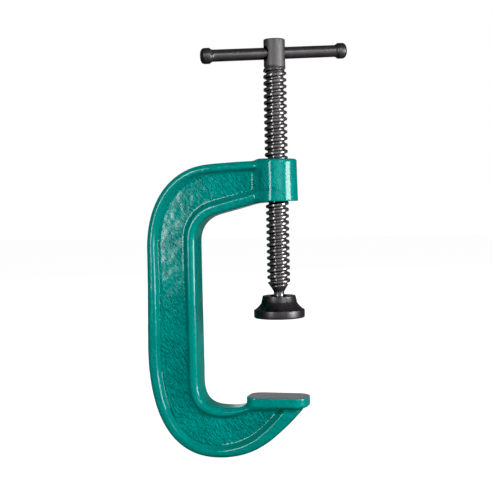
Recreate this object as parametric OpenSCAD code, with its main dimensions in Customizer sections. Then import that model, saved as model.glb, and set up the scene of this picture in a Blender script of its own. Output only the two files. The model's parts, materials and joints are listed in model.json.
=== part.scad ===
// C clamp: a cast frame, a screw with a sliding handle bar, and a swivel pad on the screw's end.
// Origin: the middle of the fixed jaw's face, on the screw's axis. +Z runs up the screw to its head,
// and the spine of the frame stands on the -X side. All sizes are in millimetres.

/* [Opening] */
// Gap between the fixed jaw and the pad as drawn
jaw_gap = 49; // [30:0.5:90]
// Height of the boss's underside above the fixed jaw's face
boss_z = 121.3; // [120:0.1:124]

/* [Frame] */
// Thickness of the frame's flanges
frame_t = 19; // [17:0.5:20]
// Thickness of the web between the recesses
web_t = 11; // [8:0.5:13]
// Width of the flange round the outside of the frame
outer_rim = 6.8; // [5:0.1:8]
// Width of the flange round the throat, on the spine
inner_rim = 8.4; // [6:0.1:9]
// Height of the rounding along the frame's edges
edge_round = 2; // [1:0.1:3]
// Radius of the threaded boss
boss_r = 12.6; // [12:0.1:14]
// How much wider the boss is at its underside, as the mould's draft
boss_draft = 0.5; // [0:0.1:1]
// Height of the threaded boss
boss_h = 26.2; // [24:0.1:28]

/* [Fixed jaw] */
// Length of the jaw's plate along X
jaw_l = 38.8; // [34:0.1:40]
// Width of the jaw's plate
jaw_w = 21.5; // [20:0.5:24]
// Thickness of the jaw's plate
jaw_t = 6.5; // [5.5:0.5:8]

/* [Screw] */
// Thread pitch: one turn moves the screw this far
pitch = 4; // [3.5:0.5:4]
// Radius at the thread's crests
crest_r = 7.15; // [7:0.05:7.3]
// Radius at the thread's roots
root_r = 5.3; // [5.2:0.05:5.5]
// Length of the threaded rod
rod_l = 136; // [130:1:140]
// Radius of the screw's head
head_r = 6.65; // [6.2:0.05:7]
// Height of the screw's head
head_h = 16.8; // [15:0.1:20]
// Radius of the ball at the screw's end
ball_r = 5; // [4.8:0.05:5]

/* [Handle bar] */
// Radius of the bar
bar_r = 3.7; // [3.4:0.05:3.75]
// Overall length of the bar
bar_l = 92.8; // [85:0.1:110]
// Radius of the upset ends
knob_r = 4.9; // [4.6:0.1:5.5]
// Length of each upset end
knob_l = 6; // [5:0.5:8]
// Angle of the bar from the plane of the frame
bar_yaw = 29; // [0:1:90]
// Tilt of the bar in its loose hole
bar_tilt = 2.8; // [0:0.1:2.8]

/* [Swivel pad] */
// Radius of the pad's foot
pad_r = 15.85; // [14:0.05:17]
// Height of the pad
pad_h = 13.8; // [13:0.1:16]
// Radius of the pad's collar at its top
collar_r = 10.2; // [9:0.1:10.5]

/* [Hidden] */
$fn = 96;
eps = 0.01;

boss_top = boss_z + boss_h;
arm_top = boss_top - 0.9;
spine_out = 85;
spine_in = 51.6;
heel_z = -39.3;
recess_d = (frame_t - web_t) / 2;

ball_z = jaw_gap + 6.5;
neck_r = 3.3;
cone_z = ball_z + 10.2;
cone_h = 2.8;
rod_z = cone_z + cone_h;
head_z = rod_z + rod_l;
hole_r = bar_r + 0.45;
hole_z = head_z + 0.484 * head_h;

// Thread form: half widths of the ridge at its crest and per millimetre of depth, and its facets a turn
crest_w = 0.65;
flank = 0.43;
bury = 0.4;
steps = 24;
thread_play = 0.18;

ring_wire = 0.7;
ring_r = 5.2;
ring_up = 2.6;
groove_h = 2.6;
groove_r = ring_r + ring_wire + 0.4;
bore_r = ball_r + 0.15;

// Outer edge of the frame in X and Z, as cubic curves from the boss round the spine to the fixed jaw
OUTER = [
    [[0, arm_top], [-18, arm_top + 0.3], [-36, arm_top - 0.7], [-44, arm_top - 1.4]],
    [[-44, arm_top - 1.4], [-63.8, arm_top - 3.1], [0.8 - spine_out, 127], [1 - spine_out, 91]],
    [[1 - spine_out, 91], [1.1 - spine_out, 72], [0.4 - spine_out, 52], [0.1 - spine_out, 33]],
    [[0.1 - spine_out, 33], [-spine_out - 0.8, -7.3], [-74, heel_z - 2.3], [-37, heel_z]],
    [[-37, heel_z], [-14.2, heel_z + 1.4], [-2.4, -26.8], [15.4, -jaw_t]]
];
// Inner edge of the frame, round the throat, in the same order
INNER = [
    [[-9, boss_z + 0.1], [-17, boss_z - 2.4], [-30, boss_z - 5.4], [-38.4, boss_z - 7.6]],
    [[-38.4, boss_z - 7.6], [-48.3, boss_z - 10.2], [0.1 - spine_in, 104], [-spine_in, 97]],
    [[-spine_in, 97], [-spine_in - 0.2, 70], [0.2 - spine_in, 40], [0.1 - spine_in, 10]],
    [[0.1 - spine_in, 10], [-spine_in, -4], [-46.6, -7.5], [-33.4, -7.4]],
    [[-33.4, -7.4], [-28, -7.4], [-24, -6.6], [-19, -5.5]]
];

// A point of a cubic curve, and the unit normal on its left side
function on_curve(c, t) = pow(1 - t, 3) * c[0] + 3 * t * pow(1 - t, 2) * c[1]
    + 3 * t * t * (1 - t) * c[2] + pow(t, 3) * c[3];
function slope(c, t) = pow(1 - t, 2) * (c[1] - c[0]) + 2 * t * (1 - t) * (c[2] - c[1])
    + t * t * (c[3] - c[2]);
function left_of(c, t) = let (d = slope(c, t)) [-d[1], d[0]] / norm(d);

// Points along a chain of curves, set in by the width w[i] to w[i + 1] along curve i
function edge(chain, w, side) = [
    for (i = [0 : len(chain) - 1]) for (k = [0 : 12]) if (k < 12 || i == len(chain) - 1)
        let (t = k / 12) on_curve(chain[i], t) + side * (w[i] * (1 - t) + w[i + 1] * t) * left_of(chain[i], t)
];
function backwards(v) = [for (i = [len(v) - 1 : -1 : 0]) v[i]];
function c_shape(w_out, w_in) = concat(edge(OUTER, w_out, 1), backwards(edge(INNER, w_in, -1)));

module plate(t) rotate([90, 0, 0]) linear_extrude(height = t, center = true) children();

// One helical ridge of right-hand thread round Z, from z0 up for the given number of turns. It
// starts at the height of a whole pitch, so ridges and grooves made by this module always mesh.
// grow widens it on all sides, and fade is the share of a turn in which it rises at each end.
module ridge(z0, turns, r_base, grow, fade) {
    n = floor(turns * steps);
    first = ceil(z0 / pitch) * pitch;
    lift = [for (i = [0 : n]) min(1, i / (fade * steps), (n - i) / (fade * steps))];
    low = r_base - bury;
    sections = [
        for (i = [0 : n]) let (
            a = 360 * i / steps,
            z = first + pitch * i / steps,
            r = low + 0.2 + (crest_r + grow - low - 0.2) * lift[i],
            w = crest_w + grow,
            w_low = w + flank * (crest_r + grow - low)
        ) for (q = [[low, -w_low], [r, -w_low + flank * (r - low)], [r, w_low - flank * (r - low)], [low, w_low]])
            [q[0] * cos(a), q[0] * sin(a), z + q[1]]
    ];
    sides = [
        for (i = [0 : n - 1]) for (k = [0 : 3]) let (
            p = 4 * i + k,
            q = 4 * i + (k + 1) % 4
        ) each [[p, q + 4, p + 4], [p, q, q + 4]]
    ];
    polyhedron(sections, concat([[3, 2, 1, 0]], sides, [[4 * n, 4 * n + 1, 4 * n + 2, 4 * n + 3]]));
}

// The C-shaped beam: a full outline a little thinner than the flanges, with its edges stepped in
module beam() {
    inset = [for (i = [0 : 5]) edge_round * 0.6];
    none = [for (i = [0 : 5]) 0];
    plate(frame_t - edge_round) polygon(c_shape(none, none));
    plate(frame_t) polygon(c_shape(inset, inset));
}

// The recess on one face, cut down to the web. It ends short of the fixed jaw
module recess() {
    rims_out = [outer_rim, outer_rim, outer_rim, outer_rim, outer_rim, outer_rim + 4];
    rims_in = [inner_rim + 1.2, inner_rim + 1.6, inner_rim, inner_rim, inner_rim - 1.2, inner_rim - 1.2];
    translate([0, (web_t + recess_d + 1) / 2, 0]) plate(recess_d + 1) difference() {
        polygon(c_shape(rims_out, rims_in));
        translate([-24, -jaw_t - 2.5]) square([60, 20]);
    }
}

module jaw_plate() {
    corner = 7;
    end = 8;
    x0 = -21;
    x1 = x0 + jaw_l;
    half = jaw_w / 2;
    translate([0, 0, -jaw_t]) linear_extrude(height = jaw_t) union() {
        translate([x0 + corner, -half]) square([jaw_l - corner - end, jaw_w]);
        translate([x0, corner - half]) square([jaw_l, jaw_w - 2 * corner - (end - corner) * 2]);
        translate([x0, corner - half]) square([jaw_l / 2, jaw_w - 2 * corner]);
        translate([x1 - jaw_l / 2, end - half]) square([jaw_l / 2, jaw_w - 2 * end]);
        for (s = [-1, 1]) {
            translate([x0 + corner, s * (half - corner)]) circle(corner);
            translate([x1 - end, s * (half - end)]) circle(end);
        }
    }
}

module frame() color("#008674") difference() {
    union() {
        difference() {
            beam();
            for (s = [0, 1]) mirror([0, s, 0]) recess();
        }
        translate([0, 0, boss_z]) rotate_extrude()
            polygon([[0, 0], [boss_r + boss_draft, 0], [boss_r, boss_h - 1.6], [boss_r - 0.5, boss_h - 0.5],
                [boss_r - 1.6, boss_h], [0, boss_h]]);
        jaw_plate();
    }
    translate([0, 0, boss_z - 1]) cylinder(r = root_r + thread_play, h = boss_h + 2);
    ridge(boss_z - 2 * pitch, boss_h / pitch + 3, root_r + thread_play, thread_play, 0.5);
}

module screw() color("#2b2c2f") difference() {
    union() {
        translate([0, 0, ball_z]) sphere(ball_r);
        translate([0, 0, ball_z]) cylinder(r = neck_r, h = cone_z - ball_z + eps);
        translate([0, 0, cone_z]) cylinder(r1 = neck_r, r2 = root_r, h = cone_h);
        translate([0, 0, rod_z]) cylinder(r = root_r, h = rod_l + 1);
        ridge(rod_z + 1, (rod_l - 5) / pitch, root_r, 0, 0.6);
        translate([0, 0, head_z]) rotate_extrude()
            polygon([[0, -1.2], [root_r, -1.2], [head_r, 0], [head_r, head_h - 0.8],
                [head_r - 0.8, head_h], [0, head_h]]);
    }
    translate([0, 0, hole_z]) rotate([0, 90, bar_yaw]) cylinder(r = hole_r, h = 4 * head_r, center = true);
}

module handle_bar() color("#333437") translate([0, 0, hole_z]) rotate([0, 90 - bar_tilt, bar_yaw])
    rotate_extrude() {
        half = bar_l / 2;
        shoulder = half - knob_l;
        edge_pts = [[bar_r, shoulder - 1], [knob_r, shoulder + 0.6], [knob_r, half - 1.6],
            [knob_r - 0.5, half - 0.5], [knob_r - 1.6, half], [0, half]];
        polygon(concat(edge_pts, [for (p = backwards(edge_pts)) [p[0], -p[1]]]));
    }

module swivel_pad() color("#1f2022") difference() {
    translate([0, 0, jaw_gap]) rotate_extrude()
        polygon([[0, 0], [pad_r - 0.8, 0], [pad_r, 0.9], [pad_r, 5.2], [pad_r - 0.4, 5.9],
            [pad_r - 1.2, 6.3], [collar_r + 2.4, 7.5], [collar_r + 0.9, 8.8], [collar_r + 0.55, 9.7],
            [collar_r, pad_h - 0.5], [collar_r - 0.5, pad_h], [0, pad_h]]);
    translate([0, 0, ball_z]) sphere(ball_r + 0.1);
    translate([0, 0, ball_z]) cylinder(r = bore_r, h = pad_h);
    translate([0, 0, ball_z + ring_up - groove_h / 2]) cylinder(r = groove_r, h = groove_h);
}

// A split ring of round wire that holds the ball in the pad
module retaining_ring() color("#8d8f92") translate([0, 0, ball_z + ring_up])
    rotate([0, 0, 15]) rotate_extrude(angle = 330) translate([ring_r, 0]) circle(ring_wire);

frame();
screw();
handle_bar();
swivel_pad();
retaining_ring();
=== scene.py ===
# %% [markdown]
# # A cast C clamp
# The clamp is a cast iron frame shaped like a C, a screw with a rolled thread, a loose handle bar
# and a swivel pad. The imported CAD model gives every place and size, and this script builds the
# finished surfaces round it. Shapes are worked out in millimetres and put into meshes in metres.

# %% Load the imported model
import json
import math

import bmesh
import bpy
import numpy as np
from mathutils import Matrix, Vector


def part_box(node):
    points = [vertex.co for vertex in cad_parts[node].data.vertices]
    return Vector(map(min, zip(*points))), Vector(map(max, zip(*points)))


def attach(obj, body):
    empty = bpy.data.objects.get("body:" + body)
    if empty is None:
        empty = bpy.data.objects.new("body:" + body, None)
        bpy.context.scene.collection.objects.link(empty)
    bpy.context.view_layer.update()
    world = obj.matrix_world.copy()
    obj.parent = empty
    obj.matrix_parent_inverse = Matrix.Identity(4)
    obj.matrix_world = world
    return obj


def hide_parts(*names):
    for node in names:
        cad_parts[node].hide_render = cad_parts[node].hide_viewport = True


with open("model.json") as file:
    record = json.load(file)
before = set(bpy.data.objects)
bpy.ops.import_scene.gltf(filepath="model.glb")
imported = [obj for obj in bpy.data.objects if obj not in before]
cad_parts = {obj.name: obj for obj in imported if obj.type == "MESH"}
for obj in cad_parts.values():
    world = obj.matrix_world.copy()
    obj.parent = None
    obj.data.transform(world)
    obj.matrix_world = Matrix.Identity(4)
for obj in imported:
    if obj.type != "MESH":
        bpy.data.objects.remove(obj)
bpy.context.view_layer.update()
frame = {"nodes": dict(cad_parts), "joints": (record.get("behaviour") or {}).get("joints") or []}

MM = 0.001
scene = bpy.context.scene

# %% [markdown]
# ## Sizes from the model
# A node's box gives its ends, and a joint gives its axis or its centre. The sizes below could all
# be typed in, but then a change to the CAD model would leave the finished surfaces behind. So
# every end that a box can give is read from it, and only what lies between the ends is named
# here.

# %% Read the sizes
def box_mm(node):
    """The lowest and highest corner of a CAD node, in millimetres."""
    return [np.array(corner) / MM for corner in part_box(node)]


joints = {joint["name"]: joint for joint in frame["joints"]}
casting_lo, casting_hi = box_mm("frame")
pad_lo, pad_hi = box_mm("swivel_pad")
head_top = box_mm("screw")[1][2]
ball_z = joints["pad_swivel"]["pos_m"][2] / MM
bar_axis = np.array(joints["handle_slide"]["axis"])

spine_out = -casting_lo[0]  # from the screw's axis to the back of the spine
heel_inset = 0.2
heel_z = casting_lo[2] + heel_inset
boss_top, boss_h = casting_hi[2], 26.2
boss_z = boss_top - boss_h
boss_draft = 0.5  # how much wider the boss is at its foot than at its top
boss_r = casting_hi[1] - boss_draft
jaw_end, jaw_l, jaw_t = casting_hi[0], 38.8, 6.5
crest_r, root_r, pitch = 7.15, 5.3, 4.0
print("boss from", round(boss_z, 2), "to", round(boss_top, 2), "ball at", round(ball_z, 2))

# %% [markdown]
# ## Meshes from arrays
# Every surface below is an array of points and an array of faces. A mesh could also be built one
# point at a time, but whole arrays are quicker and read like the formula that they come from. One
# helper puts them into a mesh and merges the points that coincide, which closes the poles and
# seams and takes away the faces that had no area.

# %% Mesh helpers
weld_distance = 0.001 * MM


def weld(mesh):
    """Merges the points of a mesh that coincide."""
    work = bmesh.new()
    work.from_mesh(mesh)
    bmesh.ops.remove_doubles(work, verts=work.verts, dist=weld_distance)
    work.to_mesh(mesh)
    work.free()


def make_piece(name, points, quads, body, materials, marks=None, finishes=None):
    """A mesh object from points in millimetres and faces of four.

    marks are named numbers at the points, and finishes gives each face the number of its material.
    """
    mesh = bpy.data.meshes.new(name)
    mesh.from_pydata((points * MM).tolist(), [], quads.tolist())
    for material in materials:
        mesh.materials.append(material)
    for mark_name, values in (marks or {}).items():
        layer = mesh.attributes.new(mark_name, "FLOAT", "POINT")
        layer.data.foreach_set("value", np.ascontiguousarray(values, dtype=np.float32))
    if finishes is not None:
        mesh.polygons.foreach_set("material_index", finishes.astype(np.int32))
    weld(mesh)
    mesh.polygons.foreach_set("use_smooth", np.ones(len(mesh.polygons), dtype=bool))
    piece = bpy.data.objects.new(name, mesh)
    scene.collection.objects.link(piece)
    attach(piece, body)
    print(name, len(mesh.vertices), "points,", len(mesh.polygons), "faces")
    return piece


# %% Grids and profiles
def grid_faces(rows, columns):
    """Faces between neighbours on a grid of rows by columns, closed round the columns."""
    r, c = np.meshgrid(np.arange(rows - 1), np.arange(columns), indexing="ij")
    right = (c + 1) % columns
    here, above = r * columns, (r + 1) * columns
    corners = [here + c, here + right, above + right, above + c]
    return np.stack(corners, axis=-1).reshape(-1, 4)


def ease(t):
    """A smooth step: 0 up to t = 0, 1 from t = 1, and 3tt - 2ttt between."""
    t = np.clip(t, 0.0, 1.0)
    return t * t * (3.0 - 2.0 * t)


def arc(centre, radius, start, end, count):
    """Points on part of a circle, from one angle in degrees to another."""
    a = np.radians(np.linspace(start, end, count))
    return np.stack([centre[0] + radius * np.cos(a), centre[1] + radius * np.sin(a)], axis=-1)


def turned(profile, columns):
    """A profile of (radius, height) pairs carried round Z: x = r cos a, y = r sin a, z = height.

    A profile that runs from the bottom to the top has its faces outwards.
    """
    profile = np.asarray(profile, dtype=float)
    a = np.linspace(0.0, 2.0 * np.pi, columns, endpoint=False)
    r, h = profile[:, :1], profile[:, 1:]
    points = np.stack([r * np.cos(a), r * np.sin(a), h + 0.0 * a], axis=-1)
    return points.reshape(-1, 3), grid_faces(len(profile), columns)


print("a ring of 8 columns has", len(turned([(1, 0), (1, 1)], 8)[1]), "faces")

# %% [markdown]
# ## The frame's two edges
# The frame follows two smooth lines in the X-Z plane: the outer edge round the back of the C and
# the inner edge round the throat. They could be drawn as lists of many points, but a chain of
# cubic curves needs only four points apiece and is smooth at any fineness, as the pattern for a
# casting is.

# %% The outline's curves
arm_top = boss_top - 0.9
spine_in = 51.6
OUTER = [
    [(4, arm_top), (3, arm_top), (1, arm_top), (0, arm_top)],
    [(0, arm_top), (-18, arm_top + 0.3), (-36, arm_top - 0.7), (-44, arm_top - 1.4)],
    [(-44, arm_top - 1.4), (-63.8, arm_top - 3.1), (0.8 - spine_out, 127), (1 - spine_out, 91)],
    [(1 - spine_out, 91), (1.1 - spine_out, 72), (0.4 - spine_out, 52), (0.1 - spine_out, 33)],
    [(0.1 - spine_out, 33), (-spine_out - 0.8, -7.3), (-74, heel_z - 2.3), (-37, heel_z)],
    [(-37, heel_z), (-14.2, heel_z + 1.4), (-2.4, -26.8), (15.4, -jaw_t)],
]
INNER = [
    [(4, boss_z + 1), (0, boss_z + 1), (-5, boss_z + 0.8), (-9, boss_z + 0.1)],
    [(-9, boss_z + 0.1), (-17, boss_z - 2.4), (-30, boss_z - 5.4), (-38.4, boss_z - 7.6)],
    [(-38.4, boss_z - 7.6), (-48.3, boss_z - 10.2), (0.1 - spine_in, 104), (-spine_in, 97)],
    [(-spine_in, 97), (-spine_in - 0.2, 70), (0.2 - spine_in, 40), (0.1 - spine_in, 10)],
    [(0.1 - spine_in, 10), (-spine_in, -4), (-46.6, -7.5), (-33.4, -7.4)],
    [(-33.4, -7.4), (-28, -7.4), (-24, -6.6), (-19, -5.5)],
]


def along(chain, widths, side, count=40):
    """Points along a chain of cubic curves, each moved off the curve by a width.

    A cubic curve is the sum of its four points weighed by (1-t)^3, 3t(1-t)^2, 3t^2(1-t) and t^3.
    Its slope has the weights 1, 2, 1 on the differences of the points, and the slope turned by a
    quarter turn is the direction the width is measured in. The width goes evenly from one value to
    the next.
    """
    t = np.linspace(0.0, 1.0, count, endpoint=False)[:, None]
    out = []
    for curve, w0, w1 in zip(np.array(chain, dtype=float), widths[:-1], widths[1:]):
        p = (1 - t) ** 3 * curve[0] + 3 * t * (1 - t) ** 2 * curve[1]
        p = p + 3 * t ** 2 * (1 - t) * curve[2] + t ** 3 * curve[3]
        d = (1 - t) ** 2 * (curve[1] - curve[0]) + 2 * t * (1 - t) * (curve[2] - curve[1])
        d = d + t ** 2 * (curve[3] - curve[2])
        turn = np.stack([-d[:, 1], d[:, 0]], axis=-1) / np.linalg.norm(d, axis=1, keepdims=True)
        out.append(p + side * (w0 * (1 - t) + w1 * t) * turn)
    return np.concatenate(out)


def c_shape(outer_widths, inner_widths):
    """One closed loop: along the outer edge, then back along the inner edge."""
    outer, inner = along(OUTER, outer_widths, 1), along(INNER, inner_widths, -1)
    return np.concatenate([outer, inner[::-1]])


no_width = [0] * (len(OUTER) + 1)
outline = c_shape(no_width, no_width)
print("outline of", len(outline), "points")

# %% [markdown]
# ## Distance to an outline
# A casting has a fillet wherever two shapes meet, and its flanges sink into its web without a
# crease. Beams and cylinders joined by booleans would meet in hard edges, and a grid of two
# parameters can't fork from the beam into the boss. So the casting is made another way, as a
# distance field: a function that is negative inside the iron and positive outside it. Fields can
# be joined with a soft join. It starts from the distance to a flat outline, worked out once on a
# flat grid.

# %% Distance fields in the X-Z plane
flat_step = 0.8
margin_lo, margin_hi = 6.0, 8.0
flat_x = np.arange(-spine_out - margin_lo, jaw_end + margin_hi, flat_step)
flat_z = np.arange(heel_z - margin_lo, boss_top + margin_hi, flat_step)


def loop_distance(loop, batches=24):
    """Signed distance of every point of the flat grid from a closed loop, negative inside it.

    For each straight bit from p to q, the nearest point is p + s (q - p), with s clipped to 0..1.
    The least distance wins. A ray along X crosses the loop an odd number of times from inside. The
    points are taken in batches to save memory.
    """
    x, z = [v.ravel()[:, None] for v in np.meshgrid(flat_x, flat_z, indexing="ij")]
    p, q = loop, np.roll(loop, -1, axis=0)
    px, pz, dx, dz = p[:, 0], p[:, 1], q[:, 0] - p[:, 0], q[:, 1] - p[:, 1]
    out = np.empty(len(x))
    for part in np.array_split(np.arange(len(x)), batches):
        rx, rz = x[part] - px, z[part] - pz
        s = np.clip((rx * dx + rz * dz) / (dx * dx + dz * dz), 0.0, 1.0)
        near = np.sqrt(((rx - s * dx) ** 2 + (rz - s * dz) ** 2).min(axis=1))
        spans = (z[part] < pz) != (z[part] < q[:, 1])
        rise = np.where(dz == 0, 1.0, dz)
        hits = spans & (rx < dx * rz / rise)
        out[part] = np.where(hits.sum(axis=1) % 2 == 1, -near, near)
    return out.reshape(len(flat_x), len(flat_z))


def soften(field, rounds=2):
    """Blurs a flat field a little, so that it has no creases: weights 1, 2, 1 along X and Z."""
    for _ in range(rounds):
        wide = np.pad(field, 1, mode="edge")
        field = (wide[:-2, 1:-1] + 2 * field + wide[2:, 1:-1]) / 4
        wide = np.pad(field, 1, mode="edge")
        field = (wide[1:-1, :-2] + 2 * field + wide[1:-1, 2:]) / 4
    return field


def look_up(field, x, z):
    """The value of a flat field at any x and z, from the four grid points round each."""
    u = np.clip((x - flat_x[0]) / flat_step, 0, len(flat_x) - 2)
    v = np.clip((z - flat_z[0]) / flat_step, 0, len(flat_z) - 2)
    i, j = u.astype(int), v.astype(int)
    i, j = np.minimum(i, len(flat_x) - 2), np.minimum(j, len(flat_z) - 2)
    s, t = u - i, v - j
    low = field[i, j] * (1 - s) + field[i + 1, j] * s
    high = field[i, j + 1] * (1 - s) + field[i + 1, j + 1] * s
    return low * (1 - t) + high * t


# How wide the flanges are where each curve of the outline starts and ends.
flange_outer = [5.6, 5.6, 5.6, 6.2, 7.4, 6.2, 9.5]
flange_inner = [6.8, 6.8, 7.2, 6.4, 6.2, 6.0, 3.4]
rim_field = soften(loop_distance(outline))
recess_field = soften(loop_distance(c_shape(flange_outer, flange_inner)))
print("flat grid", rim_field.shape, "deepest inside", round(float(rim_field.min()), 2))

# %% [markdown]
# ## The casting as one field
# The beam is where both the outline's field and the flange's faces are negative, met with a round
# edge. Its faces sink to the web inside the recess. The boss is a cylinder with a little draft,
# as a pattern needs to leave the sand, and the fixed jaw is a rounded plate. Each is joined to
# the beam with a fillet.

# %% The casting's field
flange_half, web_half, jaw_half = 9.5, 5.5, 10.75  # half the thickness across Y
beam_round = 3.2
recess_wall = 3.4  # how far it takes a flange's side to reach the web
recess_stop = -jaw_t - 2.0  # the recess ends this far under the jaw
recess_stop_x, half_way_z, far_inside = -30.0, 60.0, -30.0
boss_foot_round, boss_top_round, boss_fillet = 0.5, 1.7, 3.2
jaw_mid, jaw_reach = jaw_end - jaw_l / 2, jaw_l / 2
jaw_near_corner, jaw_far_corner = 7.0, 8.0
jaw_under_round, jaw_top_round, jaw_fillet = 1.6, 0.7, 3.0
hole_clear, hole_start = 0.45, 3.0
mouth_depth, mouth_max = 1.0, 1.4


def round_meet(a, b, r):
    """Where two fields are both negative, with the edge between them rounded to radius r."""
    a, b = a + r, b + r
    return np.minimum(np.maximum(a, b), 0) + np.hypot(np.maximum(a, 0), np.maximum(b, 0)) - r


def soft_join(a, b, r):
    """Where either field is negative, with a fillet of about r in the corner between them."""
    near = np.maximum(r - np.abs(a - b), 0.0) / r
    return np.minimum(a, b) - near * near * r / 4


def slab_field(z, low, high):
    """The field of a slab between two heights: distance from its middle, less half its height."""
    return np.abs(z - (low + high) / 2) - (high - low) / 2


def recess_depth(x, z, recess):
    """How far the surface has sunk to the web: 0 on the flanges and 1 on the web."""
    under_jaw = (x > recess_stop_x) & (z < half_way_z)
    stop = np.maximum(recess, np.where(under_jaw, z - recess_stop, far_inside))
    return ease(0.5 - stop / recess_wall)


def casting(x, y, z, rim, recess):
    """The whole casting's field at points whose two flat distances are known."""
    sunk = recess_depth(x, z, recess)
    half = flange_half - (flange_half - web_half) * sunk
    beam = round_meet(rim, np.abs(y) - half, beam_round)

    draft = boss_draft * np.clip((boss_top - z) / boss_h, 0, 1)
    boss_middle = boss_z + boss_h / 2
    boss_round = np.where(z > boss_middle, boss_top_round, boss_foot_round)
    cap = slab_field(z, boss_z, boss_top)
    boss = round_meet(np.hypot(x, y) - boss_r - draft, cap, boss_round)

    corner = np.where(x > jaw_mid, jaw_far_corner, jaw_near_corner)
    plate = round_meet(np.abs(x - jaw_mid) - jaw_reach, np.abs(y) - jaw_half, corner)
    jaw_round = np.where(z > -jaw_t / 2, jaw_top_round, jaw_under_round)
    jaw = round_meet(plate, slab_field(z, -jaw_t, 0.0), jaw_round)

    solid = soft_join(soft_join(beam, boss, boss_fillet), jaw, jaw_fillet)
    mouth = np.clip(cap + mouth_depth, 0.0, mouth_max)
    hole = np.maximum(np.hypot(x, y) - crest_r - hole_clear - mouth, boss_z - hole_start - z)
    return np.maximum(solid, -hole)


def casting_at(points):
    """The casting's field at loose points."""
    x, y, z = points.T
    return casting(x, y, z, look_up(rim_field, x, z), look_up(recess_field, x, z))


spine_middle = np.array([[-(spine_out + spine_in) / 2, 0.0, half_way_z]])
print("field in the middle of the spine", round(float(casting_at(spine_middle)[0]), 2))

# %% [markdown]
# ## From a field to a surface
# The field is sampled on a grid of small cubes. Wherever it changes sign along a cube's edge, the
# surface crosses that edge. Each cube that the surface passes through gets one point, the mean of
# its crossings, and each crossed edge gets one face between the four cubes round it. The points
# are then pulled onto the surface along the field's slope. Blender's own remesher works from
# cubes as well, but it would round the edges off, because it knows the shape only from its cubes.

# %% Net the surface
def surface_net(field, corner, step):
    """Points and faces of the surface where a sampled field is zero.

    A crossing lies at a / (a - b) of the way along an edge whose ends have the values a and b.
    Faces point to where the field is positive.
    """
    inside = field < 0
    cells = np.array(field.shape) - 1
    count = np.zeros(cells.prod())
    total = np.zeros((3, cells.prod()))
    faces = []
    for axis in range(3):
        low, high = [slice(None)] * 3, [slice(None)] * 3
        low[axis], high[axis] = slice(0, -1), slice(1, None)
        low, high = tuple(low), tuple(high)
        crossed = np.argwhere(inside[low] != inside[high])
        a, b = field[low][tuple(crossed.T)], field[high][tuple(crossed.T)]
        point = crossed.astype(float)
        point[:, axis] += a / (a - b)
        round_edge = []
        for back in ((1, 1), (0, 1), (0, 0), (1, 0)):
            cell = crossed.copy()
            cell[:, (axis + 1) % 3] -= back[0]
            cell[:, (axis + 2) % 3] -= back[1]
            flat = np.ravel_multi_index(tuple(cell.T), tuple(cells))
            round_edge.append(flat)
            count += np.bincount(flat, minlength=len(count))
            for d in range(3):
                total[d] += np.bincount(flat, weights=point[:, d], minlength=len(count))
        quad = np.stack(round_edge, axis=-1)
        faces.append(np.where((a < 0)[:, None], quad, quad[:, ::-1]))
    used = count > 0
    points = (total[:, used] / count[used]).T * step + corner
    number = np.cumsum(used) - 1
    return points, number[np.concatenate(faces)]


def field_slope(points, nudge=0.08):
    """The direction in which the casting's field grows fastest, from small steps each way."""
    ways = nudge * np.eye(3)
    slope = [casting_at(points + way) - casting_at(points - way) for way in ways]
    return np.stack(slope, axis=-1) / (2 * nudge)


# The grid stands a cube or two clear of the casting on every side.
cube = 0.72
grid_x = np.arange(-spine_out - 1.5, jaw_end + 1.8, cube)
grid_y = np.arange(-boss_r - 1.3, boss_r + 1.5, cube)
grid_z = np.arange(heel_z - 1.5, boss_top + 1.8, cube)
across = np.meshgrid(grid_x, grid_z, indexing="ij")
sampled = casting(
    grid_x[:, None, None], grid_y[None, :, None], grid_z[None, None, :],
    look_up(rim_field, *across)[:, None, :], look_up(recess_field, *across)[:, None, :],
)
skin, skin_faces = surface_net(sampled, np.array([grid_x[0], grid_y[0], grid_z[0]]), cube)
for _ in range(3):
    slope = field_slope(skin)
    skin = skin - (casting_at(skin) / (slope ** 2).sum(axis=1))[:, None] * slope
print("skin of", len(skin), "points and", len(skin_faces), "faces")
print("furthest off the surface, mm:", round(float(np.abs(casting_at(skin)).max()), 3))

# %% [markdown]
# ## Marks on the casting
# The finish differs over the casting: the web keeps the sand mould's rough texture and gets a
# painted sheen, the flanges are smoother, hollows get painted shade, edges get a painted highlight,
# and the jaw's face is machined bare.
# Each could have a material of its own, but the borders would then follow the faces. So they are
# stored as numbers at the points, and the paint reads them. An edge shows because a point a
# little way under it is nearer to the surface than that, and a hollow because a point over it is.

# %% Marks and cast lumps
def lumps(points, size, seed, lattice_side=32):
    """Smooth random heights from -1 to 1: numbers on a cubic lattice, eased between them."""
    lattice = np.random.default_rng(seed).uniform(-1, 1, (lattice_side,) * 3)
    at = points / size
    base = np.floor(at).astype(int)
    w = ease(at - base)
    out = np.zeros(len(points))
    for corner in np.ndindex(2, 2, 2):
        weight = np.prod(np.where(corner, w, 1 - w), axis=1)
        out += weight * lattice[tuple(((base + corner) % lattice_side).T)]
    return out


normal = field_slope(skin)
normal /= np.linalg.norm(normal, axis=1, keepdims=True)
skin_x, skin_z, from_axis = skin[:, 0], skin[:, 2], np.hypot(skin[:, 0], skin[:, 1])

in_web = recess_depth(skin_x, skin_z, look_up(recess_field, skin_x, skin_z))
off_boss = ease((from_axis - boss_r + 0.5) / 1.5)
in_web *= ease((np.abs(normal[:, 1]) - 0.5) / 0.4) * np.where(skin_z > half_way_z, off_boss, 1.0)

# The hollow mark paints shade into the enamel's colour, and the edge mark paints a highlight.
probe, fade = 2.0, 1.5
edge = np.clip((casting_at(skin - probe * normal) + probe) / fade, 0, 1)
hollow_shade = np.clip((probe - casting_at(skin + probe * normal)) / fade, 0, 1)
bare = ease((skin_z + 0.25) / 0.2) * (np.abs(skin_x) < 25) * (skin_z < 1)

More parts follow.
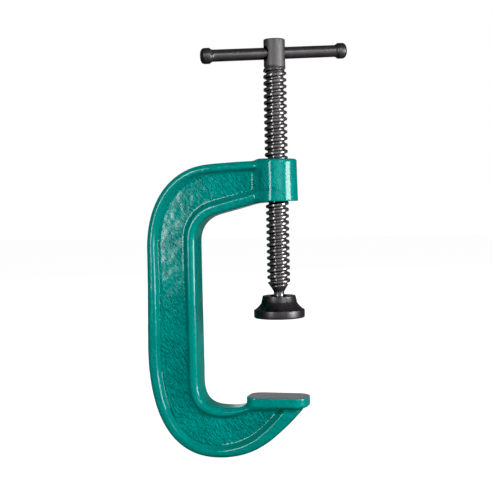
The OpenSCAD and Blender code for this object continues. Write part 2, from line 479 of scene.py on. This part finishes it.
# The cast lumps stay off the jaw's machined face and out of the tapped hole.
rough = 0.035 * lumps(skin, 6.0, 1) + (0.012 + 0.02 * in_web) * lumps(skin, 2.2, 2)
cast_share = (1 - bare) * (from_axis > boss_r - 3) + (skin_z < half_way_z) * (1 - bare)
lump_inset = 0.06
skin = skin + normal * (np.clip(cast_share, 0, 1) * (rough - lump_inset))[:, None]
print("web share", round(float(in_web.mean()), 3), "edge", round(float(edge.mean()), 3))

# %% [markdown]
# ## Shader maths
# A material is a tree of nodes. It could be linked up node by node, which is long and hard to
# read. This class wraps a node's output instead, so that maths on values reads as plain
# arithmetic, and any other node comes from one method.

# %% The socket wrapper
class Wire:
    """A value, colour or vector on its way through a material's nodes."""

    def __init__(self, tree, socket=None):
        self.tree, self.socket = tree, socket

    def node(self, kind, settings=None, inputs=None, output=0):
        """Adds a node: its settings, then its inputs, each a number, a colour or a wire."""
        new = self.tree.nodes.new(kind)
        for name, value in (settings or {}).items():
            setattr(new, name, value)
        for key, value in (inputs or {}).items():
            if isinstance(value, Wire):
                self.tree.links.new(value.socket, new.inputs[key])
            else:
                new.inputs[key].default_value = value
        return Wire(self.tree, new.outputs[output] if len(new.outputs) else None)

    def maths(self, operation, first, second):
        """A Math node on two values."""
        return self.node("ShaderNodeMath", {"operation": operation}, {0: first, 1: second})

    def __add__(self, other):
        return self.maths("ADD", self, other)

    def __sub__(self, other):
        return self.maths("SUBTRACT", self, other)

    def __mul__(self, other):
        return self.maths("MULTIPLY", self, other)

    def __rsub__(self, other):
        return self.maths("SUBTRACT", other, self)

    __radd__ = __add__
    __rmul__ = __mul__

    def between(self, low, high):
        """0 where this value is at or below low, 1 at or above high, and smooth between."""
        return self.node(
            "ShaderNodeMapRange", {"interpolation_type": "SMOOTHSTEP"}, {0: self, 1: low, 2: high}
        )

    def tint(self, first, second):
        """A colour that goes from first to second as this value goes from 0 to 1."""
        return self.node("ShaderNodeMix", {"data_type": "RGBA"}, {0: self, 6: first, 7: second}, 2)


def noise(at, size, detail=2.0, roughness=0.5, distortion=0.0):
    """A noise pattern whose lumps are about size millimetres across."""
    return at.node("ShaderNodeTexNoise", {}, {
        "Vector": at, "Scale": 1 / (size * MM), "Detail": detail, "Roughness": roughness,
        "Distortion": distortion,
    })


def mapped(at, scale=(1, 1, 1), rotation=(0, 0, 0)):
    """Object coordinates, first scaled and then turned."""
    inputs = {"Vector": at, "Scale": scale, "Rotation": rotation}
    return at.node("ShaderNodeMapping", {}, inputs)


def mark(at, name):
    """The value of a mark that is stored at the mesh's points."""
    return at.node("ShaderNodeAttribute", {"attribute_name": name}, output=2)


def new_material(name):
    """A new material's object coordinates, and a function that gives it its Principled shader."""
    material = bpy.data.materials.new(name)
    material.use_nodes = True
    tree = material.node_tree
    tree.nodes.clear()
    start = Wire(tree)
    at = start.node("ShaderNodeTexCoord", output=3)

    def close(inputs, height=None, depth=0.0):
        """Sets the shader's inputs. height goes through a Bump node, depth millimetres deep."""
        if height is not None:
            inputs["Normal"] = start.node("ShaderNodeBump", {}, {
                "Height": height, "Distance": depth * MM, "Strength": 1.0,
            })
        shader = start.node("ShaderNodeBsdfPrincipled", {}, inputs)
        start.node("ShaderNodeOutputMaterial", {}, {"Surface": shader})
        print(name, len(tree.nodes), "nodes")
        return material

    return at, close


# %% [markdown]
# ## Paint
# Teal enamel lies on the casting as a coloured film under a clear gloss of its own. One glossy
# layer could stand for both, but enamel's broad soft glow and its sharp glints are two different
# widths, so the film has a rough sheen and the coat over it a fine one. The colour has painted
# shade in hollows, where the coat is also less glossy, and is painted paler on edges as a highlight
# and on the web as a sheen. The sand's grain runs askew, so its pattern is turned and then
# stretched. The bump is strong on the web and faint elsewhere. The jaw's face is bare iron with
# fine lines from milling.

# %% Enamel on the casting
def enamel():
    """Teal enamel with cast texture under it, and milled iron where the mark "bare" is 1."""
    at, close = new_material("teal_enamel")
    web, edge_highlight, deep, machined = [mark(at, name) for name in ("web", "edge", "hollow_shade", "bare")]
    painted = 1 - machined

    teal, mottle_and_shade_teal = (0.0, 0.285, 0.25, 1), (0.0, 0.115, 0.085, 1)
    sheen_teal = (0.0, 0.37, 0.335, 1)
    cloud = noise(at, 9.0, 3.0).between(0.3, 0.7)
    # Random clouds darken the teal a little, and the hollow mark darkens it as painted shade.
    colour = (cloud * 0.2 + deep * 0.8).tint(teal, mottle_and_shade_teal)
    # A painted highlight on the edges and a painted sheen on the web make the teal paler there.
    colour = (edge_highlight.between(0.55, 1.0) * 0.2 + web * 0.5).tint(colour, sheen_teal)
    milled = noise(mapped(at, (0.05, 1.0, 1.0)), 0.35, 2.0)
    metal = milled.tint((0.42, 0.47, 0.47, 1), (0.56, 0.60, 0.60, 1))

    askew = mapped(mapped(at, rotation=(0, -0.95, 0)), scale=(0.38, 1.0, 1.0))
    grain = noise(askew, 1.35, 1.0, 0.5, 0.5)
    crust = noise(at, 0.9, 2.0, 0.6)
    peel = noise(at, 2.0, 2.0)
    faint = noise(at, 26.0, 1.0).between(0.3, 0.6)
    cast = web * (faint * 0.5 + 0.5)
    height = (peel * 0.55 + (grain * 3.2 + crust * 0.6) * cast) * painted
    return close({
        "Base Color": machined.tint(colour, metal),
        "Roughness": painted * 0.06 + 0.34,
        "Metallic": machined * 0.85,
        "Specular IOR Level": 0.15,
        "Coat Weight": painted * (0.9 - deep.between(0.0, 0.35) * 0.8),
        "Coat Roughness": 0.12,
    }, height + milled * machined * 0.03, 1.2)


paint = enamel()

# %% [markdown]
# ## Black oxide and bare metal
# The screw, the bar and the pad are blacked steel: dark, with a soft grey sheen. A black
# plastic-like shader would look too flat, so the metal is kept, with a dark tone of its own. The
# oxide lies in faint clouds and is polished where hands and the thread rub it. Rolling leaves the
# thread brighter than the drawn bar, the screw's head stays dull, and turning leaves fine rings
# on the pad. The ring's wire and the tapped thread are bare metal with a stain of oil.

# %% Steel finishes
def shaded(tone, share):
    """A tone made darker by a share, as a colour for a socket."""
    return tuple(c * share for c in tone) + (1,)


def black_steel(name, tone, roughness, ring_depth=0.0):
    """Blacked steel. The mark "dull" is 1 where it isn't rubbed. ring_depth gives turned rings."""
    at, close = new_material(name)
    dull = mark(at, "dull")
    cloud = noise(at, 7.0, 3.0)
    worn = (cloud * 0.8 + noise(at, 1.8, 2.0) * 0.2).between(0.40, 0.66)
    rings = noise(mapped(at, (1, 1, 14)), 7.0, 2.0) if ring_depth else None
    rubbed = worn.tint(shaded(tone, 0.82), shaded(tone, 1.0))
    return close({
        "Base Color": dull.tint(rubbed, shaded(tone, 0.72)),
        "Roughness": roughness + dull * 0.3 + cloud * 0.08 - worn * 0.06,
        "Metallic": 0.75,
    }, rings, ring_depth)


def bare_metal(name, tone, roughness):
    """Bright oiled metal, with a stain here and there."""
    at, close = new_material(name)
    stain = noise(at, 2.5, 3.0).between(0.45, 0.7)
    return close({
        "Base Color": stain.tint(shaded(tone, 1.0), shaded(tone, 0.6)),
        "Roughness": roughness + stain * 0.15,
        "Metallic": 1.0,
    }, noise(at, 0.4, 2.0), 0.01)


thread_steel = black_steel("blacked_thread", (0.25, 0.242, 0.244), 0.21)
bar_steel = black_steel("blacked_bar", (0.145, 0.14, 0.144), 0.34)
pad_steel = black_steel("blacked_pad", (0.125, 0.12, 0.125), 0.34, 0.02)
ring_steel = bare_metal("spring_wire", (0.45, 0.44, 0.43), 0.3)
tapped_iron = bare_metal("tapped_iron", (0.16, 0.155, 0.15), 0.42)

# %% [markdown]
# ## Threads
# A thread is a profile carried along a helix. A Screw modifier could sweep one, but its ends
# would be left ragged. On a grid whose rows climb one pitch a turn, every ridge lies along a row,
# so its crest stays crisp. Row j at the end of a turn is row j + n at its start, where n is the
# number of rows in a pitch. Points past either end are moved onto the end's circle, where they
# merge with the next shape.

# %% The thread's form
rows_a_pitch = 20
ridge_foot, flank = 1.65, 1.05


def thread_rise(offset):
    """How far the thread has risen at an offset along Z from a ridge: 0 at the root, 1 at the crest.

    The flank is an eased step, flank wide, that ends at ridge_foot from the ridge's middle.
    """
    return ease((ridge_foot - np.abs(offset)) / flank)


def helical(z_lo, z_hi, radius, columns):
    """A threaded surface round Z between two flat ends.

    x = r cos a, y = r sin a and z = lift + pitch a / 2 pi, where every row of the grid has its own
    lift. radius is a function of the thread's rise and the height.
    """
    a = np.linspace(0, 2 * np.pi, columns, endpoint=False)
    rows = int(np.ceil((z_hi - z_lo) / pitch + 2)) * rows_a_pitch
    first = np.floor(z_lo / pitch) - 1
    lift = (first + np.arange(rows + 1)[:, None] / rows_a_pitch) * pitch
    z = lift + pitch * a / (2 * np.pi)
    offset = (lift + pitch / 2) % pitch - pitch / 2 + 0 * a
    height = np.clip(z, z_lo, z_hi)
    r = radius(thread_rise(offset), height)
    points = np.stack([r * np.cos(a), r * np.sin(a), height], axis=-1).reshape(-1, 3)
    j, i = np.meshgrid(np.arange(rows - rows_a_pitch), np.arange(columns), indexing="ij")
    last = i == columns - 1
    right = np.where(last, 0, i + 1)
    step = np.where(last, rows_a_pitch, 0)
    corners = [j * columns + i, (j + step) * columns + right,
               (j + step + 1) * columns + right, (j + 1) * columns + i]
    quads = np.stack(corners, axis=-1).reshape(-1, 4)
    z_of = points[quads, 2]
    flat = (z_of.max(axis=1) <= z_lo + 1e-9) | (z_of.min(axis=1) >= z_hi - 1e-9)
    return points, quads[~flat]


def joined(*shapes):
    """Several arrays of points and faces as one."""
    start = np.cumsum([0] + [len(points) for points, _ in shapes])
    faces = [quads + n for (_, quads), n in zip(shapes, start)]
    return np.concatenate([points for points, _ in shapes]), np.concatenate(faces)


print("rise at 0, 1 and 2 mm from a ridge:", thread_rise(np.arange(3)).round(2).tolist())

# %% [markdown]
# ## The casting, with its tapped hole
# The tapped hole is a sleeve of thread inside the boss, a hair wider than the screw. It could be
# cut from the casting's field, but the cubes are too coarse for a thread, so it is a helix of its
# own. It is set in from the boss's ends, where a drill has countersunk the hole, and its outer
# wall is buried in the boss.

# %% The frame
play = 0.2
sleeve_inset = 0.8
sleeve_lo, sleeve_hi = boss_z + sleeve_inset, boss_top - sleeve_inset
sleeve_r = crest_r + 0.7
sleeve_columns = 72
sleeve_taper = 0.9


def tapped(rise, z):
    """The hole's radius. It opens out to the thread's crest at both ends."""
    near_end = np.minimum(z - sleeve_lo, sleeve_hi - z)
    inner = root_r + play + (crest_r - root_r) * rise
    return np.maximum(inner, crest_r + play - near_end * sleeve_taper)


inside_points, inside_faces = helical(sleeve_lo, sleeve_hi, tapped, sleeve_columns)
mouth_r = crest_r + play
wall_profile = [
    (mouth_r, sleeve_lo), (sleeve_r, sleeve_lo), (sleeve_r, sleeve_hi), (mouth_r, sleeve_hi),
]
sleeve = joined((inside_points, inside_faces[:, ::-1]), turned(wall_profile, sleeve_columns))
frame_points, frame_faces = joined((skin, skin_faces), sleeve)
marks = {"web": in_web, "edge": edge, "hollow_shade": hollow_shade, "bare": bare}
unmarked = np.zeros(len(sleeve[0]))
clamp_frame = make_piece(
    "frame_casting", frame_points, frame_faces, "frame", [paint, tapped_iron],
    {name: np.concatenate([values, unmarked]) for name, values in marks.items()},
    np.arange(len(frame_faces)) >= len(skin_faces),
)
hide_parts("frame")

# %% [markdown]
# ## The screw
# One piece of steel: a turned ball, neck and cone, the rolled thread, and a plain head. Three
# meshes could stand end to end, but the real screw is one piece, so its parts share their end
# circles and merge there. The cone cuts the first turns down, and the last turn fades into the
# head.

# %% The screw
head_r = 6.65
head_h = 16.8
head_z = head_top - head_h
head_round = 0.8
cone_lo, cone_hi = ball_z + 10.2, ball_z + 13.0
neck_r, ball_r = 3.3, 5.0
cone_slope = 0.75
screw_columns = 96


def rod_radius(rise, z):
    """The rod's radius: root and ridge, cut by the cone's slope below and run out at the head.

    Under the head the root rises by 1 mm, the crest sinks to the head's radius, and a short
    shoulder closes what is left.
    """
    root = root_r + 1.0 * ease((z - head_z + 4.5) / 3.0)
    crest = crest_r - (crest_r - head_r) * ease((z - head_z + 3.0) / 3.0)
    full = root + (crest - root) * rise
    shoulder = root_r + (head_r - root_r) * ease((z - head_z + 0.7) / 0.7)
    cone = root_r + np.maximum(z - cone_hi, 0) * cone_slope
    return np.minimum(np.maximum(full, shoulder), cone)


ball_end = math.degrees(math.acos(neck_r / ball_r))
tail = np.concatenate([
    arc((0, ball_z), ball_r, -90, ball_end, 24),
    [(neck_r, cone_lo - 0.8), (neck_r + 0.1, cone_lo - 0.25), (neck_r + 0.4, cone_lo + 0.25)],
    [(root_r - 0.15, cone_hi - 0.25), (root_r, cone_hi)],
])
head = np.concatenate([
    [(head_r, head_z), (head_r, head_z + 1.0), (head_r, head_top - 3.0)],
    arc((head_r - head_round, head_top - head_round), head_round, 0, 90, 6),
    [(head_r - 2.5, head_top), (0, head_top)],
])
screw_points, screw_faces = joined(
    turned(tail, screw_columns),
    helical(cone_hi, head_z, rod_radius, screw_columns),
    turned(head, screw_columns),
)
screw = make_piece(
    "clamp_screw", screw_points, screw_faces, "screw", [thread_steel],
    {"dull": ease((screw_points[:, 2] - head_z + 0.5) / 0.5)},
)
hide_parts("screw")

# %% [markdown]
# ## The head's cross hole
# The hole is drilled straight through the head. Working out the curve where two cylinders meet
# would give it too, but a boolean is what a drill does. The cutting shape is a cylinder that
# flares a little where it leaves the head, as a countersink does. The result is kept in the
# screw's own mesh.

# %% Cut the cross hole
bar_r = 3.7
hole_r = bar_r + 0.45
hole_flare = 1.6
hole_z = head_z + 0.484 * head_h
level = np.array([bar_axis[0], bar_axis[1], 0.0])
level /= np.linalg.norm(level)


def lay_along(points, direction, middle):
    """Turns points from the Z axis to another direction and moves them to a middle point.

    The new axes are across, side and the direction itself. They are right-handed, so faces that
    point outwards still do.
    """
    side = np.cross([0, 0, 1], direction)
    side /= np.linalg.norm(side)
    across = np.cross(side, direction)
    return points @ np.stack([across, side, direction]) + middle


def cut(piece, points, quads):
    """Takes a closed shape away from a piece, and keeps the result in the piece's own mesh."""
    mesh = bpy.data.meshes.new("cutter")
    mesh.from_pydata((points * MM).tolist(), [], quads.tolist())
    weld(mesh)
    cutter = bpy.data.objects.new("cutter", mesh)
    scene.collection.objects.link(cutter)
    drill = piece.modifiers.new("drill", "BOOLEAN")
    drill.operation, drill.solver, drill.object = "DIFFERENCE", "EXACT", cutter
    drilled = piece.evaluated_get(bpy.context.evaluated_depsgraph_get())
    done, old = bpy.data.meshes.new_from_object(drilled), piece.data
    piece.modifiers.remove(drill)
    bpy.data.objects.remove(cutter)
    piece.data = done
    bpy.data.meshes.remove(old)
    print(piece.name, "cut to", len(done.polygons), "faces")


reach = head_r + 4.0
drill_profile = [
    (0, -reach), (hole_r + hole_flare, -reach), (hole_r + 0.12, -4.9), (hole_r, -4.4),
    (hole_r, 4.4), (hole_r + 0.12, 4.9), (hole_r + hole_flare, reach), (0, reach),
]
drill_points, drill_faces = turned(drill_profile, 96)
hole_middle = np.array([0, 0, hole_z])
cut(screw, lay_along(drill_points, level, hole_middle), drill_faces)

# %% [markdown]
# ## The handle bar
# A drawn bar that was put through the head and then upset at both ends. Upsetting leaves
# barrel-shaped knobs with soft corners and a short cone where the bar swells. A bar with two
# balls on it would be quicker, but it would lose those corners. One half's profile is drawn,
# mirrored and turned, and the whole is laid along the joint's axis, which leans a little because
# the bar is loose in its hole.

# %% The handle bar
bar_half = 46.4
knob_r, knob_l = 4.9, 6.6
end_round, neck_round = 2.3, 1.5
half_bar = np.concatenate([
    [(bar_r, 8.0), (bar_r, 20.0), (bar_r, bar_half - knob_l - 2.0)],
    [(bar_r + 0.02, bar_half - knob_l - 0.7), (bar_r + 0.14, bar_half - knob_l - 0.1)],
    arc((knob_r - neck_round, bar_half - knob_l + 1.9), neck_round, -52, -4, 6),
    [(knob_r, bar_half - 3.6)],
    arc((knob_r - end_round, bar_half - end_round), end_round, 8, 84, 9),
    [(knob_r - end_round - 0.6, bar_half - 0.02), (0, bar_half)],
])
mirrored = half_bar[::-1] * [1, -1]
bar_points, bar_faces = turned(np.concatenate([mirrored, half_bar]), 72)
bar_points = lay_along(bar_points, bar_axis / np.linalg.norm(bar_axis), hole_middle)
handle = make_piece(
    "tommy_bar", bar_points, bar_faces, "handle", [bar_steel],
)
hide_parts("handle_bar")

# %% [markdown]
# ## The swivel pad
# The pad is turned from bar: a collar that narrows to its top, a hollow cone and a thick foot.
# Its socket and the groove for the ring are turned inside it. The whole of it is one closed
# profile, as it would be on a lathe, so the wall between the outside and the socket has its true
# thickness.

# %% The swivel pad
pad_r = pad_hi[0]
pad_z, pad_top = pad_lo[2], pad_hi[2]
collar_r = 10.2
bore_r = ball_r + 0.15
groove_r, groove_half = 6.3, 1.3
ring_z = ball_z + 2.6
foot_edge = arc((pad_r - 1.0, pad_z + 1.0), 1.0, -90, 0, 7)
foot_top = arc((pad_r - 0.6, pad_z + 4.6), 0.6, 0, 62, 5)
collar_edge = arc((collar_r - 0.45, pad_top - 0.5), 0.5, 10, 90, 5)
hollow_cone = [
    (pad_r - 1.3, pad_z + 5.6), (collar_r + 3.1, pad_z + 6.7), (collar_r + 2.1, pad_z + 7.8),
    (collar_r + 1.35, pad_z + 8.8), (collar_r + 0.95, pad_z + 9.5), (collar_r + 0.72, pad_z + 9.9),
]
collar = [
    (collar_r + 0.95, pad_z + 10.05), (collar_r + 0.8, pad_z + 10.4),
    (collar_r + 0.45, pad_z + 12.0), (collar_r + 0.05, pad_top - 0.55),
]
mouth = [(bore_r + 1.2, pad_top), (bore_r + 0.5, pad_top - 0.05), (bore_r, pad_top - 0.5)]
groove = [
    (bore_r, ring_z + groove_half), (groove_r, ring_z + groove_half),
    (groove_r, ring_z - groove_half), (bore_r, ring_z - groove_half),
]
pad_profile = np.concatenate([
    [(0, pad_z), (pad_r - 4.0, pad_z)], foot_edge, [(pad_r, pad_z + 2.6)], foot_top, hollow_cone,
    collar, collar_edge, mouth, groove, arc((0, ball_z), bore_r, 0, -90, 14),
])
pad_points, pad_faces = turned(pad_profile, 128)
pad = make_piece(
    "swivel_pad_turned", pad_points, pad_faces, "pad", [pad_steel],
)
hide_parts("swivel_pad")

# %% [markdown]
# ## The retaining ring
# A ring of spring wire inside the pad holds the ball in. It already has its true round shape in
# the CAD model, so a new mesh would add nothing. It keeps its own and only takes a finish.

# %% Finish the ring
ring = frame["nodes"]["retaining_ring"]
for mesh_slot in ring.material_slots:
    mesh_slot.material = ring_steel
print("ring slots", len(ring.material_slots))

# %% [markdown]
# ## Crisp and smooth
# Turned parts have both smooth rounds and sharp edges. Extra rows beside each edge would keep it
# crisp, at the cost of many faces. Here the normals are smoothed only where neighbouring faces
# meet at less than a set angle. The thread has the widest one, so that its eased flanks stay
# smooth.

# %% Shade by angle
smooth_below = {screw: 50, handle: 40, pad: 30}
for piece, degrees in smooth_below.items():
    piece.data.set_sharp_from_angle(angle=math.radians(degrees))
    print(piece.name, "is smooth below", degrees, "degrees")

# %% [markdown]
# ## Floor
# A plain pale floor lies under the clamp. Lighting it to an even white would take lights that
# spoil the clamp's own shading, so it glows softly for the camera alone and stays a dull grey for
# everything else.

# %% Floor
def floor_material():
    """A pale matt floor that glows for rays from the camera only."""
    at, close = new_material("pale_floor")
    seen = at.node("ShaderNodeLightPath")
    return close({
        "Base Color": noise(at, 60.0, 2.0).tint((0.20, 0.20, 0.20, 1), (0.22, 0.22, 0.22, 1)),
        "Roughness": 0.9,
        "Emission Color": seen.tint((0, 0, 0, 1), (1, 1, 1, 1)),
        "Emission Strength": 0.95,
    })


floor_half = 4000.0
floor_z = heel_z - 0.1
floor_mesh = bpy.data.meshes.new("floor")
corners = np.array([(-1, -1), (1, -1), (1, 1), (-1, 1)]) * floor_half * MM
floor_mesh.from_pydata([(x, y, floor_z * MM) for x, y in corners], [], [(0, 1, 2, 3)])
floor_mesh.materials.append(floor_material())
floor = bpy.data.objects.new("floor", floor_mesh)
scene.collection.objects.link(floor)

# %% [markdown]
# ## Lights
# A tall light on the left and a broad one on the right give every round part two bright stripes
# with a dark band between them, and the left one also glances off the spine's web. A small light
# picks out the bar, and a card behind draws a rim. One bright lamp in front could lighten the
# rest, but its reflection would lay a grey haze on the paint. So the soft lights in front and
# behind are kept out of reflections and only lift the colour itself.

# %% Lights
view_azimuth = math.radians(14.7)
aim = Vector((-0.0203, -0.0013, 0.0938))


def soft_box(name, azimuth, height, distance, size, power, mirrored_in_gloss=True):
    """A rectangular light at an azimuth from the view's own, turned towards the clamp.

    It stands distance metres out along (sin a, -cos a) and height metres above the point aimed at.
    """
    a = view_azimuth + math.radians(azimuth)
    light = bpy.data.lights.new(name, "AREA")
    light.shape = "RECTANGLE"
    light.size, light.size_y = size
    light.energy = power
    lamp = bpy.data.objects.new(name, light)
    place = Vector((math.sin(a), -math.cos(a), 0)) * distance + Vector((0, 0, height))
    lamp.location = aim + place
    lamp.rotation_euler = (-place).to_track_quat("-Z", "Y").to_euler()
    lamp.visible_glossy = mirrored_in_gloss
    scene.collection.objects.link(lamp)
    print(name, power, "W at", [round(v, 2) for v in lamp.location])


soft_box("strip_left", -39.8, 0.28, 2.0, (0.33, 1.0), 11.0)
soft_box("strip_right", 64, 0.0, 1.0, (0.50, 0.36), 7.6)
soft_box("bar_light", 30, 0.42, 1.0, (0.36, 0.18), 1.5)
soft_box("front_fill", 8, 0.1, 1.2, (1.0, 0.6), 1.1)
soft_box("front_soft", 8, 0.45, 1.2, (1.0, 0.6), 7.0, mirrored_in_gloss=False)
soft_box("back_card", 172, -0.12, 1.5, (0.8, 0.48), 0.9)
soft_box("back_high", 195, 0.8, 1.2, (1.0, 0.6), 12.0, mirrored_in_gloss=False)

# %% [markdown]
# ## Backdrop and levels
# The backdrop is white to the camera and dim to the clamp, for the same reason as the floor. Soft
# light from all round leaves the darkest steel a little grey, so the view's black level is raised
# until that grey is black.

# %% World and view
world = bpy.data.worlds.new("studio")
world.use_nodes = True
world.node_tree.nodes.clear()
sky = Wire(world.node_tree)
backdrop = sky.node("ShaderNodeLightPath").tint((0.12, 0.12, 0.12, 1), (1, 1, 1, 1))
glow = sky.node("ShaderNodeBackground", {}, {"Color": backdrop, "Strength": 1.0})
sky.node("ShaderNodeOutputWorld", {}, {"Surface": glow})
scene.world = world

black_level = 0.025
scene.view_settings.view_transform = "Standard"
scene.view_settings.use_curve_mapping = True
levels = scene.view_settings.curve_mapping
levels.black_level = (black_level,) * 3
levels.update()
print("world", world.name, "black level", black_level)

# %% [markdown]
# ## Camera
# The camera looks at the clamp from a little to the right of its side and a little above, with a
# slight roll. A tracking constraint could aim it, but it can't roll it by a set angle. So its
# three directions are worked out: back along the view, right and up, with the last two turned by
# the roll.

# %% Camera
view_height, roll, distance = math.radians(2.34), math.radians(1.2), 0.705
back = Vector((
    math.sin(view_azimuth) * math.cos(view_height),
    -math.cos(view_azimuth) * math.cos(view_height),
    math.sin(view_height),
))
right = Vector((math.cos(view_azimuth), math.sin(view_azimuth), 0))
up = back.cross(right)
rolled_right = right * math.cos(roll) - up * math.sin(roll)
rolled_up = right * math.sin(roll) + up * math.cos(roll)
turn = Matrix([rolled_right, rolled_up, back]).transposed().to_4x4()

lens = bpy.data.cameras.new("camera")
lens.sensor_width, lens.lens = 36.0, 82.5
lens.clip_start, lens.clip_end = 0.01, 20.0
camera = bpy.data.objects.new("camera", lens)
camera.matrix_world = Matrix.Translation(aim + back * distance) @ turn
scene.collection.objects.link(camera)
scene.camera = camera
print("camera at", [round(v, 3) for v in camera.matrix_world.translation])
